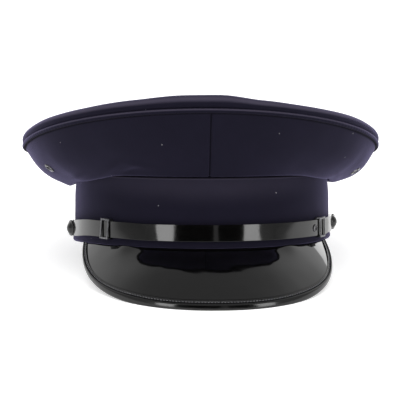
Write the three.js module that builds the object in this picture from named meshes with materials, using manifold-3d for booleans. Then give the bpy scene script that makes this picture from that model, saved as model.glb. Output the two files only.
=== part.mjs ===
// A valet cap: a flared cloth crown on an upright band, a glossy peak and a glossy chin strap.
// Units are millimetres, +Z is up, and the front of the cap faces -Y.
// The pieces are shaped in the cap's own level frame, with the lower edge of the band at Z = 0.
// A group then tips the cap back until it rests on the edge of the peak and the back of the band.
import * as THREE from 'three';
import { mergeVertices } from 'three/addons/utils/BufferGeometryUtils.js';
import Module from 'manifold-3d';

const wasm = await Module();
wasm.setup();

// ---------------------------------------------------------------- driving dimensions

const GAP = 0.3; // clearance between neighbouring pieces
const CLOTH = 1.8; // crown cloth with its interlining

// Angles run round the cap in degrees from the front, positive toward the wearer's left (+X).
const BAND = { halfWidth: 92, halfLength: 101.2, height: 47, wall: 2.4, steps: 60 };

// The outer face of the band, from its rolled lower edge to the seam at the top.
const BAND_PROFILE = [
  { z: 0, out: 0.2 },
  { z: 0.7, out: 1.3 },
  { z: 1.5, out: 1.6 },
  { z: 2.2, out: 1.0 },
  { z: 2.7, out: 0 },
  { z: 12, out: 0 },
  { z: 28, out: -0.2 },
  { z: 47, out: -1.3 },
];

// The soft band and the strap on it hang a little lower by the button on the -X side.
const SIDE_DIP = { depth: 2.8, angle: -90, spread: 27 };

// The line of the piping: an oval that is raised at the front and turns level behind the sides.
const RIM = {
  halfWidth: 127,
  halfLength: 132,
  shift: { x: -0.8, y: 1 },
  frontHeight: 91.6,
  sideHeight: 63,
  turn: -0.1,
  blend: 0.25,
  lean: -0.006,
};
// A stiff stay lifts the edge of the top in the middle of the front.
const STAY = { rise: 1.9, angle: -1, spread: 13 };
const PIPING = { radius: 1.5, sides: 6 };

// How far the soft quarters hang below their seam, and how far they belly out.
const QUARTER_SHAPE = [
  { angle: -180, hang: 7, belly: 6.5 },
  { angle: -135, hang: 9, belly: 7 },
  { angle: -90, hang: 11.5, belly: 9.2 },
  { angle: -65, hang: 6.5, belly: 6.5 },
  { angle: -35, hang: 0.5, belly: 3 },
  { angle: 0, hang: 0, belly: 2 },
  { angle: 35, hang: 0.5, belly: 3 },
  { angle: 65, hang: 4.5, belly: 6.5 },
  { angle: 90, hang: 8.5, belly: 9.4 },
  { angle: 135, hang: 8.5, belly: 7 },
  { angle: 180, hang: 7, belly: 6.5 },
];
// The hanging fold is deepest at this share of the way to the piping, and the rows of the mesh
// close up toward it by this power.
const FOLD = { share: 0.16, crowding: 1.35 };
// The upper edge of a quarter is tucked in by this much under the piping.
const QUARTER = { steps: 15, rows: 9, tuck: 0.6 };
const QUARTERS = [
  { name: 'quarter_front_left', from: 0, to: 90 },
  { name: 'quarter_front_right', from: -90, to: 0 },
  { name: 'quarter_back_left', from: 90, to: 180 },
  { name: 'quarter_back_right', from: 180, to: 270 },
];

// The roll round the edge of the top, an oval section measured from the line of the piping.
const ROLL = { in: 3.3, up: 4.5, halfWidth: 4.9, halfHeight: 4, from: -41, to: 98, rows: 6 };
const TOP = { sag: 5, rows: 4, steps: 64 };

// The peak slopes down at one angle from the lower edge of the band.
const PEAK = {
  reach: 34,
  drop: 36.2,
  halfAngle: 68,
  roundness: 2.69,
  fullness: 0.86,
  shift: 3.2,
  wall: 2,
  steps: 36,
  rows: 3,
};
// The section of the binding that hooks over the edge of the peak: "out" runs past the edge,
// "up" rises from the outer face of the peak.
const BINDING_OUTSIDE = [
  { out: -6, up: 1.1 },
  { out: -1.8, up: 1.4 },
  { out: 0, up: 0.1 },
  { out: 0, up: -2.1 },
  { out: -1.8, up: -3.4 },
  { out: -6, up: -3.1 },
];
const BINDING_SLOT = 2.7; // from the outermost edge in to the bottom of the slot
// The shares of the half angle that the binding and the peak itself run to, and how strongly
// the sections close up toward those ends.
const PEAK_ENDS = { binding: 0.93, peak: 0.91, crowding: 0.85 };
const FLATTENED = { binding: 0.3, band: 0.5 }; // the soft edges settle by this much

const FLOOR_BLOCK = { side: 400, depth: 40 };

const STRAP = { width: 11, wall: 1, height: 10.4, step: 4 };
// The two halves of the strap lie one on the other; "out" is the middle of each half's
// thickness, and "drop" is how far it hangs below its height.
const OUTER_STRAP = [
  { angle: -91, out: 2.4, drop: 3.4 },
  { angle: -78, out: 1.7, drop: 1.9 },
  { angle: -56, out: 2.9, drop: 0.4 },
  { angle: -42, out: 2.9, drop: 0 },
  { angle: 66.5, out: 2.9, drop: 0 },
];
const INNER_STRAP = [
  { angle: -51, out: 1.6, drop: 0 },
  { angle: 72, out: 1.6, drop: 0 },
  { angle: 91, out: 2, drop: 0 },
];
// A slide's back, clear inside and front stack up outward from the band.
const SLIDE = { length: 9, height: 14.2, back: 0.5, inside: 2.9, front: 0.9, lip: 1.2 };
const SLIDE_WINDOW = { length: 5.4, height: 11.4 };
const SLIDES = [
  { name: 'slide_right', angle: -48 },
  { name: 'slide_left', angle: 59 },
];
const RIVET = { angle: 51.5, shankRadius: 1, sides: 16 };
const RIVET_HEAD = [
  { radius: 2.6, up: 0 },
  { radius: 2.2, up: 0.65 },
  { radius: 1.2, up: 1.1 },
  { radius: 0, up: 1.1 },
];
const BUTTONS = [
  { name: 'button_right', angle: -83 },
  { name: 'button_left', angle: 85.5 },
];
const BUTTON = { shankRadius: 1.4, sides: 16 };
const BUTTON_DOME = [
  { radius: 5.3, out: 2.8 },
  { radius: 5.75, out: 3.4 },
  { radius: 5.55, out: 4.2 },
  { radius: 4.8, out: 5.1 },
  { radius: 3.3, out: 5.9 },
  { radius: 1.6, out: 6.3 },
  { radius: 0, out: 6.4 },
];

// Vent eyelets, by their angle and their share of the way from the band to the piping.
const EYELETS = [
  { name: 'eyelet_right', angle: -74, share: 0.5 },
  { name: 'eyelet_left', angle: 77.5, share: 0.47 },
];
const EYELET = { bore: 1.9, barrel: 2.4, sides: 12 };
const EYELET_FLANGE = [
  { radius: 3.9, up: 0 },
  { radius: 3.9, up: 0.4 },
  { radius: 2.8, up: 0.8 },
  { radius: 2.0, up: 0.4 },
];
// Holes for barrels and shanks are cut this long and with this many sides.
const HOLE = { length: 12, sides: 16 };

const CLOTH_NAVY = { color: 0x1d1b28, roughness: 0.95, metalness: 0 };
const PATENT_BLACK = { color: 0x08080a, roughness: 0.12, metalness: 0 };
const DARK_METAL = { color: 0x5a5b60, roughness: 0.35, metalness: 1 };
const BUTTON_BLACK = { color: 0x0d0b0b, roughness: 0.25, metalness: 0 };

// ---------------------------------------------------------------- small helpers

const rad = THREE.MathUtils.degToRad;
const lerp = THREE.MathUtils.lerp;

// A value read from a table of rows, eased from each row to the next.
function fromTable(rows, key, place, value) {
  const next = rows.findIndex((row) => row[key] >= place);
  if (next <= 0) return (next < 0 ? rows.at(-1) : rows[0])[value];
  const [a, b] = [rows[next - 1], rows[next]];
  return lerp(a[value], b[value], THREE.MathUtils.smoothstep(place, a[key], b[key]));
}

// A point on an oval round the cap; angle 0 is its front.
function oval(halfWidth, halfLength, angle) {
  return new THREE.Vector2(halfWidth * Math.sin(rad(angle)), -halfLength * Math.cos(rad(angle)));
}

// The turn from one angle to another, from -180 to 180 degrees.
function turnFrom(start, angle) {
  return THREE.MathUtils.euclideanModulo(angle - start + 180, 360) - 180;
}

// Evenly spaced values from one end to the other, both included.
function spread(from, to, steps) {
  return Array.from({ length: steps + 1 }, (_, i) => lerp(from, to, i / steps));
}

// A closed body through a row of closed sections with the same number of points. A ring joins
// its last section to its first; otherwise both ends are capped between the section's two halves.
function loft(sections, ring) {
  const count = sections[0].length;
  const last = sections.length - 1;
  const index = [];
  const quad = (a, b, c, d) => index.push(a, b, c, a, c, d);
  for (let i = 0; i < (ring ? last + 1 : last); i += 1) {
    const a = i * count;
    const b = ((i + 1) % (last + 1)) * count;
    for (let j = 0; j < count; j += 1) {
      const k = (j + 1) % count;
      quad(a + j, b + j, b + k, a + k);
    }
  }
  for (let j = 0; !ring && j < count / 2 - 1; j += 1) {
    const cap = [j, j + 1, count - 2 - j, count - 1 - j];
    quad(...cap);
    quad(...cap.map((k) => last * count + k).reverse());
  }
  const geometry = new THREE.BufferGeometry();
  const coordinates = sections.flat().flatMap((p) => p.toArray());
  geometry.setAttribute('position', new THREE.Float32BufferAttribute(coordinates, 3));
  geometry.setIndex(index);
  return facingOut(geometry);
}

// The same body with shared vertices, without flat triangles, and with its faces turned outward.
function facingOut(geometry) {
  geometry.deleteAttribute('normal');
  geometry.deleteAttribute('uv');
  const body = mergeVertices(geometry, 1e-4);
  const position = body.getAttribute('position');
  const corner = (i) => new THREE.Vector3().fromBufferAttribute(position, i);
  const faces = [];
  let volume = 0;
  for (let i = 0; i < body.index.count; i += 3) {
    const [a, b, c] = [0, 1, 2].map((k) => body.index.getX(i + k));
    if (a === b || b === c || c === a) continue;
    faces.push([a, b, c]);
    volume += corner(a).dot(corner(b).cross(corner(c)));
  }
  if (volume < 0) faces.forEach((face) => face.reverse());
  body.setIndex(faces.flat());
  body.computeVertexNormals();
  return body;
}

function toManifold(geometry) {
  const body = facingOut(geometry);
  const vertProperties = new Float32Array(body.getAttribute('position').array);
  const triVerts = new Uint32Array(body.index.array);
  return new wasm.Manifold(new wasm.Mesh({ numProp: 3, vertProperties, triVerts }));
}

// What is left of a body once the others are cut away.
function cut(geometry, ...tools) {
  const rest = tools.reduce((body, tool) => body.subtract(toManifold(tool)), toManifold(geometry));
  const { vertProperties, triVerts } = rest.getMesh();
  const result = new THREE.BufferGeometry();
  result.setAttribute('position', new THREE.BufferAttribute(vertProperties, 3));
  result.setIndex([...triVerts]);
  return facingOut(result);
}

// A body of revolution round +Y, from a profile that ends on its axis or closes on itself.
function turned(profile, sides) {
  return facingOut(new THREE.LatheGeometry(profile.map(([x, y]) => new THREE.Vector2(x, y)), sides));
}

function mesh(name, geometry, finish) {
  const result = new THREE.Mesh(geometry, new THREE.MeshStandardMaterial(finish));
  result.name = name;
  return result;
}

// ---------------------------------------------------------------- band

// How far the lower edge of the band hangs below Z = 0.
function dip(angle) {
  return SIDE_DIP.depth * Math.exp(-((turnFrom(SIDE_DIP.angle, angle) / SIDE_DIP.spread) ** 2));
}

// The place on the band at an angle and a height, a distance out from its wall, with the
// directions along the band, straight out of it and up.
function onBand(angle, height, out) {
  const { halfWidth, halfLength } = BAND;
  const place = oval(halfWidth, halfLength, angle);
  const outward = oval(1 / halfWidth, 1 / halfLength, angle).normalize();
  const drop = dip(angle) * (1 - height / BAND.height);
  const point = new THREE.Vector3(place.x, place.y, height - drop);
  const normal = new THREE.Vector3(outward.x, outward.y, 0);
  const along = new THREE.Vector3(-outward.y, outward.x, 0);
  return { point: point.addScaledVector(normal, out), normal, along };
}

function bandSection(angle) {
  const outside = BAND_PROFILE.map(({ z, out }) => onBand(angle, z, out).point);
  const inside = BAND_PROFILE.map(({ z, out }) => {
    const wall = Math.min(out, 0) - BAND.wall;
    return onBand(angle, z, wall).point;
  });
  return [...outside, ...inside.reverse()];
}

function band() {
  const angles = spread(0, 360, BAND.steps).slice(0, -1);
  return cut(loft(angles.map(bandSection), true), floorBlock);
}

// ---------------------------------------------------------------- crown

// Height of the piping: a steady rise toward the front that turns level at the back.
function rimRise(angle) {
  const ahead = Math.cos(rad(angle)) - RIM.turn;
  return (Math.hypot(ahead, RIM.blend) + ahead) / 2;
}

function rimPoint(angle) {
  const place = oval(RIM.halfWidth, RIM.halfLength, angle).add(RIM.shift);
  const scale = (RIM.frontHeight - RIM.sideHeight) / (rimRise(0) - rimRise(90));
  const height = RIM.sideHeight + scale * (rimRise(angle) - rimRise(90)) + RIM.lean * place.x;
  return new THREE.Vector3(place.x, place.y, height);
}

// The plane of a section of the crown: its point on the piping and the level direction outward.
function rimFrame(angle) {
  const point = rimPoint(angle);
  const foot = onBand(angle, 0, 0).point;
  const outward = new THREE.Vector3(point.x - foot.x, point.y - foot.y, 0).normalize();
  return { point, outward };
}

// A point in that plane, measured outward and upward from the piping.
function offRim({ point, outward }, out, up) {
  return point.clone().addScaledVector(outward, out).setZ(point.z + up);
}

function piping() {
  const sides = spread(0, 360, PIPING.sides).slice(0, -1);
  const section = (angle) => {
    const frame = rimFrame(angle);
    return sides.map((turn) => {
      const [out, up] = [Math.cos(rad(turn)), Math.sin(rad(turn))];
      return offRim(frame, PIPING.radius * out, PIPING.radius * up);
    });
  };
  return loft(spread(0, 360, TOP.steps).slice(0, -1).map(section), true);
}

// The seam where the quarters meet the top of the band.
function seamPoint(angle) {
  return onBand(angle, BAND.height, BAND_PROFILE.at(-1).out + GAP).point;
}

// The outer face of a quarter, as a distance out from the seam and a height.
function quarterProfile(angle, share) {
  const turn = turnFrom(0, angle);
  const { point } = rimFrame(angle);
  const seam = seamPoint(angle);
  const reach = Math.hypot(point.x - seam.x, point.y - seam.y) - QUARTER.tuck;
  const foot = new THREE.Vector2(0, seam.z + GAP);
  const top = new THREE.Vector2(reach, point.z - PIPING.radius - GAP);
  const run = top.clone().sub(foot);
  const belly = fromTable(QUARTER_SHAPE, 'angle', turn, 'belly') * Math.sin(Math.PI * share);
  const bulge = new THREE.Vector2(run.y, -run.x).setLength(belly);
  const fold = (share / FOLD.share) * Math.exp(1 - share / FOLD.share) * (1 - share);
  const hang = fromTable(QUARTER_SHAPE, 'angle', turn, 'hang') * fold;
  return foot.lerp(top, share).add(bulge).sub(new THREE.Vector2(0, hang));
}

// A point of a quarter, a depth below its outer face.
function quarterPoint(angle, share, depth) {
  const step = 1e-3;
  const [before, after] = [Math.max(share - step, 0), Math.min(share + step, 1)];
  const slope = quarterProfile(angle, after).sub(quarterProfile(angle, before)).normalize();
  const inward = new THREE.Vector2(-slope.y, slope.x);
  const place = quarterProfile(angle, share).addScaledVector(inward, depth);
  return seamPoint(angle).addScaledVector(rimFrame(angle).outward, place.x).setZ(place.y);
}

// The place and outward direction of an eyelet on its quarter.
function eyeletFrame({ angle, share }) {
  const point = quarterPoint(angle, share, 0);
  const round = quarterPoint(angle + 0.5, share, 0).sub(quarterPoint(angle - 0.5, share, 0));
  const upward = quarterPoint(angle, share + 0.01, 0).sub(quarterPoint(angle, share - 0.01, 0));
  const normal = round.cross(upward).normalize();
  const turn = new THREE.Quaternion().setFromUnitVectors(new THREE.Vector3(0, 1, 0), normal);
  return new THREE.Matrix4().makeRotationFromQuaternion(turn).setPosition(point);
}

// A round hole through a thin wall, for a barrel or shank of a radius.
function hole(radius, frame) {
  const { length, sides } = HOLE;
  return new THREE.CylinderGeometry(radius + GAP, radius + GAP, length, sides).applyMatrix4(frame);
}

function quarter({ from, to }) {
  const inset = THREE.MathUtils.radToDeg(GAP / 2 / BAND.halfWidth);
  const shares = spread(0, 1, QUARTER.rows).map((share) => share ** FOLD.crowding);
  const section = (angle) => [
    ...shares.map((share) => quarterPoint(angle, share, 0)),
    ...shares.toReversed().map((share) => quarterPoint(angle, share, CLOTH)),
  ];
  const body = loft(spread(from + inset, to - inset, QUARTER.steps).map(section), false);
  const own = EYELETS.filter(({ angle }) => angle > from && angle < to);
  return cut(body, ...own.map((place) => hole(EYELET.barrel, eyeletFrame(place))));
}

// The height of the cloth top over its own oval: a tilted, slightly saddle-shaped sheet.
function topHeight(angle, share) {
  const level = (rimPoint(0).z + rimPoint(180).z) / 2;
  const tilt = ((rimPoint(0).z - rimPoint(180).z) / 2) * Math.cos(rad(angle));
  const rest = rimPoint(angle).z - level - tilt;
  const saddle = (rimPoint(90).z - level) / 2;
  return level + tilt * share + rest * share ** 2 + (saddle - TOP.sag) * (1 - share ** 2);
}

function topSection(angle) {
  const frame = rimFrame(angle);
  const lift = STAY.rise * Math.exp(-((turnFrom(STAY.angle, angle) / STAY.spread) ** 2));
  const middle = new THREE.Vector3(RIM.shift.x, RIM.shift.y, 0);
  const roll = (depth) => spread(ROLL.from, ROLL.to, ROLL.rows).map((turn) => {
    const out = -ROLL.in + (ROLL.halfWidth - depth) * Math.cos(rad(turn));
    const up = ROLL.up + (ROLL.halfHeight - depth) * Math.sin(rad(turn)) + lift;
    return offRim(frame, out, up);
  });
  const sheet = (depth) => {
    const edge = roll(depth).at(-1);
    const raised = edge.z - topHeight(angle, 1);
    return spread(1, 0, TOP.rows).slice(1).map((share) => {
      const place = middle.clone().lerp(edge, share);
      const above = lerp(ROLL.up + ROLL.halfHeight - depth, raised, share ** 4);
      return place.setZ(topHeight(angle, share) + above);
    });
  };
  return [...roll(0), ...sheet(0), ...sheet(CLOTH).reverse(), ...roll(CLOTH).reverse()];
}

function crownTop() {
  return loft(spread(0, 360, TOP.steps).slice(0, -1).map(topSection), true);
}

function eyelet(place) {
  const { bore, barrel, sides } = EYELET;
  const foot = -CLOTH - GAP;
  const flange = EYELET_FLANGE.map(({ radius, up }) => [radius, GAP + up]);
  const profile = [[bore, foot], [barrel, foot], [barrel, GAP], ...flange, [bore, foot]];
  return turned(profile, sides).applyMatrix4(eyeletFrame(place));
}

// ---------------------------------------------------------------- peak

const PEAK_SLOPE = Math.atan2(PEAK.drop, PEAK.reach);
const PEAK_LENGTH = Math.hypot(PEAK.drop, PEAK.reach);

// A point of the peak's outer face, by its share of the half angle and its distance down the slope.
function peakPoint(share, distance) {
  const { point, normal } = onBand(share * PEAK.halfAngle, 0, 0);
  const level = distance * Math.cos(PEAK_SLOPE);
  point.addScaledVector(normal, level).setZ(point.z - distance * Math.sin(PEAK_SLOPE));
  return point.setX(point.x + PEAK.shift * (distance / PEAK_LENGTH));
}

function peakEdge(share) {
  const length = (1 - Math.abs(share) ** PEAK.roundness) ** (1 / PEAK.fullness);
  return peakPoint(share, PEAK_LENGTH * length);
}

// The edge of the peak with the directions square to it: out past the edge, and up off the face.
function edgeFrame(share) {
  const step = 1e-3;
  const point = peakEdge(share);
  const along = peakEdge(share + step).sub(peakEdge(share - step)).normalize();
  const down = peakPoint(share, PEAK_LENGTH).sub(peakPoint(share, 0));
  const up = down.cross(along).normalize();
  const out = along.clone().cross(up).normalize();
  return { point, out, up };
}

function offEdge({ point, out, up }, outward, upward) {
  return point.clone().addScaledVector(out, outward).addScaledVector(up, upward);
}

// Shares along the edge out to both ends, closer together there, where the edge turns most.
function edgeShares(end) {
  const turn = (Math.PI / 2) * PEAK_ENDS.crowding;
  return spread(-turn, turn, PEAK.steps).map((place) => (end * Math.sin(place)) / Math.sin(turn));
}

// The upper edge of the peak, a depth in from its outer face.
function peakRoot(share, depth) {
  const { normal } = onBand(share * PEAK.halfAngle, 0, 0);
  const inward = normal.multiplyScalar(-Math.sin(PEAK_SLOPE)).setZ(-Math.cos(PEAK_SLOPE));
  return peakPoint(share, GAP / Math.sin(PEAK_SLOPE)).addScaledVector(inward, depth);
}

function peak() {
  const section = (share) => {
    const face = (depth) => {
      const root = peakRoot(share, depth);
      const edge = offEdge(edgeFrame(share), -BINDING_SLOT - GAP, -depth);
      return spread(0, 1, PEAK.rows).map((row) => root.clone().lerp(edge, row));
    };
    return [...face(0), ...face(PEAK.wall).reverse()];
  };
  return loft(edgeShares(PEAK_ENDS.peak).map(section), false);
}

function peakBinding() {
  const slotFace = (up) => spread(BINDING_OUTSIDE[0].out, -BINDING_SLOT, 2).map((out) => ({ out, up }));
  const slot = [...slotFace(-PEAK.wall - GAP), ...slotFace(GAP).reverse()];
  const outline = [...BINDING_OUTSIDE, ...slot];
  const section = (share) => {
    const frame = edgeFrame(share);
    return outline.map(({ out, up }) => offEdge(frame, out, up));
  };
  return cut(loft(edgeShares(PEAK_ENDS.binding).map(section), false), floorBlock);
}

// ---------------------------------------------------------------- how the cap rests

// The floor, seen from the level frame, touches the peak's binding in front and the band behind.
const frontRest = peakEdge(0).z + BINDING_OUTSIDE[3].up * Math.cos(PEAK_SLOPE);
const frontReach = peakEdge(0).y + BINDING_OUTSIDE[3].up * Math.sin(PEAK_SLOPE);
const backReach = BAND.halfLength + BAND_PROFILE[0].out;
const REST_TILT = Math.atan2(FLATTENED.band - frontRest - FLATTENED.binding, backReach - frontReach);
const floorLevel = -backReach * Math.sin(REST_TILT) + FLATTENED.band * Math.cos(REST_TILT);
const floorBlock = new THREE.BoxGeometry(FLOOR_BLOCK.side, FLOOR_BLOCK.side, FLOOR_BLOCK.depth)
  .translate(0, 0, floorLevel - FLOOR_BLOCK.depth / 2)
  .rotateX(REST_TILT);

// ---------------------------------------------------------------- chin strap and its fittings

// A strap along the band, by the rows of its table; its middle line keeps one height.
function strap(rows) {
  const [from, to] = [rows[0].angle, rows.at(-1).angle];
  const steps = Math.round((to - from) / STRAP.step);
  const section = (angle) => {
    const out = fromTable(rows, 'angle', angle, 'out');
    const height = STRAP.height - fromTable(rows, 'angle', angle, 'drop');
    const corner = (side, face) =>
      onBand(angle, height + (side * STRAP.width) / 2, out + (face * STRAP.wall) / 2).point;
    return [corner(-1, 1), corner(1, 1), corner(1, -1), corner(-1, -1)];
  };
  return loft(spread(from, to, steps).map(section), false);
}

// The frame in which a fitting on the strap is made: +X down, +Y straight out, Z along the band.
function fittingFrame(angle) {
  const drop = fromTable(OUTER_STRAP, 'angle', angle, 'drop');
  const { point, normal, along } = onBand(angle, STRAP.height - drop, 0);
  const down = along.clone().cross(normal);
  return new THREE.Matrix4().makeBasis(down, normal, along.negate()).setPosition(point);
}

// The corners of an upright oblong, symmetric about the strap's middle line.
function oblong(halfHeight, inner, outer) {
  return [[-halfHeight, inner], [halfHeight, inner], [halfHeight, outer], [-halfHeight, outer]]
    .map(([x, y]) => new THREE.Vector2(x, y));
}

// A slide is a flat metal loop round both layers of the strap, with a window in its front.
function slide({ angle }) {
  const { length, height, inside, back, front, lip } = SLIDE;
  const face = GAP + back + inside + front;
  const outline = new THREE.Shape(oblong(height / 2, GAP, face));
  outline.holes.push(new THREE.Path(oblong(height / 2 - lip, GAP + back, face - front)));
  const loop = new THREE.ExtrudeGeometry(outline, { depth: length, bevelEnabled: false });
  loop.translate(0, 0, -length / 2);
  const window = new THREE.BoxGeometry(SLIDE_WINDOW.height, 2 * front, SLIDE_WINDOW.length);
  window.translate(0, face, 0);
  return cut(loop, window).applyMatrix4(fittingFrame(angle));
}

function rivet() {
  const { angle, shankRadius, sides } = RIVET;
  const seat = OUTER_STRAP.at(-1).out + STRAP.wall / 2 + GAP;
  const foot = seat - GAP - STRAP.wall;
  const head = RIVET_HEAD.map(({ radius, up }) => [radius, seat + up]);
  const profile = [[0, foot], [shankRadius, foot], [shankRadius, seat], ...head];
  return turned(profile, sides).applyMatrix4(fittingFrame(angle));
}

function button({ angle }) {
  const { shankRadius, sides } = BUTTON;
  const dome = BUTTON_DOME.map(({ radius, out }) => [radius, out]);
  const profile = [[0, GAP], [shankRadius, GAP], [shankRadius, BUTTON_DOME[0].out], ...dome];
  return turned(profile, sides).applyMatrix4(fittingFrame(angle));
}

// ---------------------------------------------------------------- the cap

const cap = new THREE.Group();
cap.add(mesh('crown_top', crownTop(), CLOTH_NAVY));
cap.add(...QUARTERS.map((place) => mesh(place.name, quarter(place), CLOTH_NAVY)));
cap.add(mesh('crown_piping', piping(), CLOTH_NAVY));
cap.add(mesh('band', band(), CLOTH_NAVY));
cap.add(mesh('peak', peak(), PATENT_BLACK));
cap.add(mesh('peak_binding', peakBinding(), PATENT_BLACK));

const [rightButton, leftButton] = BUTTONS.map(({ angle }) => hole(BUTTON.shankRadius, fittingFrame(angle)));
const rivetHole = hole(RIVET.shankRadius, fittingFrame(RIVET.angle));
cap.add(mesh('chin_strap_outer', cut(strap(OUTER_STRAP), rightButton, rivetHole), PATENT_BLACK));
cap.add(mesh('chin_strap_inner', cut(strap(INNER_STRAP), leftButton), PATENT_BLACK));
cap.add(...SLIDES.map((place) => mesh(place.name, slide(place), DARK_METAL)));
cap.add(mesh('strap_rivet', rivet(), DARK_METAL));
cap.add(...BUTTONS.map((place) => mesh(place.name, button(place), BUTTON_BLACK)));
cap.add(...EYELETS.map((place) => mesh(place.name, eyelet(place), DARK_METAL)));

// Tipped to its resting angle, the cap stands on Z = 0 with its bounding box centred on the origin.
cap.rotation.x = -REST_TILT;
cap.updateMatrixWorld(true);
const bounds = new THREE.Box3().setFromObject(cap, true);
cap.position.set(-(bounds.min.x + bounds.max.x) / 2, -(bounds.min.y + bounds.max.y) / 2, -floorLevel);

const object = new THREE.Group();
object.add(cap);

export default object;
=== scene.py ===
# %% [markdown]
# # A valet cap
# A chauffeur's or doorman's peaked cap: a wide cloth crown that flares out from an upright cloth
# band, a steep peak of patent leather and a patent chin strap that two side buttons hold.
# The solid parts are already made and packed. This lesson dresses them: each plain solid is
# replaced by a finer piece in the same place, and each finish is built from nodes.
# The cells below go as a hat maker would: first the form, then cloth, peak, strap and trimmings.

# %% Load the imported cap
import bisect
import math
from math import cos, pi, radians, sin
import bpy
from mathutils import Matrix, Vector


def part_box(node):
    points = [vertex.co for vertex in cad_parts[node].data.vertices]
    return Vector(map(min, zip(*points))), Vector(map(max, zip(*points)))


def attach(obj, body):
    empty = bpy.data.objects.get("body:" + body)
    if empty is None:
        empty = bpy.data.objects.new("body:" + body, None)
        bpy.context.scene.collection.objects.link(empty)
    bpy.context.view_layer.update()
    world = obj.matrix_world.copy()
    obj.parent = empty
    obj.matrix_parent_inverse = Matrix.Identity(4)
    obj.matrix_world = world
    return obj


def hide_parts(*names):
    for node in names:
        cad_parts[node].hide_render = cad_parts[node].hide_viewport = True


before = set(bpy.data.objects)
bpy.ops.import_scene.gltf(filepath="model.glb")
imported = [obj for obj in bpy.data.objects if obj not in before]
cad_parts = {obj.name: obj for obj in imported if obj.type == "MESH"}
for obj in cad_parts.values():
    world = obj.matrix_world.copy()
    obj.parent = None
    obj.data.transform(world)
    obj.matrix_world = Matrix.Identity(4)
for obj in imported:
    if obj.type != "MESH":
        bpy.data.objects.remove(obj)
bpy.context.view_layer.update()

from types import SimpleNamespace as Named

import bpy
from mathutils import Matrix, Vector, noise

# %% [markdown]
# ## The form of the cap
# A cap maker works on a wooden block, an oval that is longer than it is wide. Here the block is a
# handful of formulas in millimetres, in the cap's own level frame: Z = 0 is the lower edge of the
# band, the front faces -Y, and angles run round from the front toward the wearer's left.
# Tables hold what changes round the cap, and one function eases from row to row. A formula was
# chosen over sculpting because every later piece, even a stitch, can ask it for its place.

# %% Helpers for the form
MM = 0.001


def turn_from(start, angle):
    """The turn from one angle to another, from -180 to 180 degrees."""
    return (angle - start + 180) % 360 - 180


def hump(distance, spread):
    """A soft hump: 1 in the middle, fading with distance."""
    return math.exp(-((distance / spread) ** 2))


def blend(start, end, share):
    return start + (end - start) * share


def table(columns, *rows):
    """A table with named columns."""
    return [dict(zip(columns.split(), row)) for row in rows]


def ease(rows, key, place, value):
    """A value from a table of rows, eased from each row to the next."""
    if place <= rows[0][key]:
        return rows[0][value]
    for before, after in neighbours(rows):
        if place <= after[key]:
            share = (place - before[key]) / (after[key] - before[key])
            return blend(before[value], after[value], share * share * (3 - 2 * share))
    return rows[-1][value]


def neighbours(values):
    return zip(values, values[1:])


def evenly(start, end, steps):
    """Evenly spaced values from one end to the other, both included."""
    return [blend(start, end, i / steps) for i in range(steps + 1)]


def walk(points):
    """The length of a line of points."""
    return sum((after - before).length for before, after in neighbours(list(points)))


def oval(half_width, half_length, angle):
    turn = radians(angle)
    return Vector((half_width * sin(turn), -half_length * cos(turn), 0))


# %% The band's oval
BAND = Named(half_width=92.0, half_length=101.2, height=47.0, wall=2.4)
SIDE_DIP = Named(depth=2.8, angle=-90, spread=27)


def outward(angle):
    """The level direction straight out of the band."""
    return oval(1 / BAND.half_width, 1 / BAND.half_length, angle).normalized()


def on_band(angle, height, out=0.0):
    """A point over the band's wall; the soft band dips a little by the button on the right."""
    point = oval(BAND.half_width, BAND.half_length, angle) + outward(angle) * out
    dip = SIDE_DIP.depth * hump(turn_from(SIDE_DIP.angle, angle), SIDE_DIP.spread)
    point.z = height - dip * (1 - height / BAND.height)
    return point


BAND_PROFILE = table("z out", (12.0, 0.0), (28.0, -0.2), (47.0, -1.3))  # it narrows to its seam
girth = walk(on_band(angle, 0, -BAND.wall) for angle in range(361))
print(f"inside girth of the band: {girth:.0f} mm, a size {girth / 10:.0f}")

# %% The rim of the crown, where the piping runs
RIM = Named(half_width=127.0, half_length=132.0, front_height=91.6, side_height=63.0)
RIM_SHIFT = Vector((-0.8, 1.0, 0.0))
RIM_TURN, RIM_BLEND, RIM_LEAN = -0.1, 0.25, -0.006
PIPING_RADIUS = 1.5


def rim_rise(angle):
    """A steady rise toward the front that turns level at the back."""
    ahead = cos(radians(angle)) - RIM_TURN
    return (math.hypot(ahead, RIM_BLEND) + ahead) / 2


def rim_point(angle):
    point = oval(RIM.half_width, RIM.half_length, angle) + RIM_SHIFT
    scale = (RIM.front_height - RIM.side_height) / (rim_rise(0) - rim_rise(90))
    point.z = RIM.side_height + scale * (rim_rise(angle) - rim_rise(90)) + RIM_LEAN * point.x
    return point


def rim_outward(angle):
    """The level direction from the band's foot to the rim."""
    away = rim_point(angle) - on_band(angle, 0)
    away.z = 0
    return away.normalized()


def off_rim(angle, out, up):
    return rim_point(angle) + rim_outward(angle) * out + Vector((0, 0, up))


print("rim heights:", {angle: round(rim_point(angle).z, 1) for angle in (0, 45, 90, 135, 180)})

# %% The slope and the edge of the peak
PEAK = Named(
    reach=34.0, drop=36.2, half_angle=68, roundness=2.69, fullness=0.86, shift=3.2, wall=2.0
)
PEAK_SLOPE = math.atan2(PEAK.drop, PEAK.reach)
PEAK_LENGTH = math.hypot(PEAK.drop, PEAK.reach)


def peak_point(share, distance):
    """A point of the peak's outer face, by its share of the half angle and the way down."""
    angle = share * PEAK.half_angle
    point = on_band(angle, 0, distance * cos(PEAK_SLOPE))
    point.z -= distance * sin(PEAK_SLOPE)
    point.x += PEAK.shift * distance / PEAK_LENGTH
    return point


def edge_length(share):
    return PEAK_LENGTH * (1 - abs(share) ** PEAK.roundness) ** (1 / PEAK.fullness)


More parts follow.
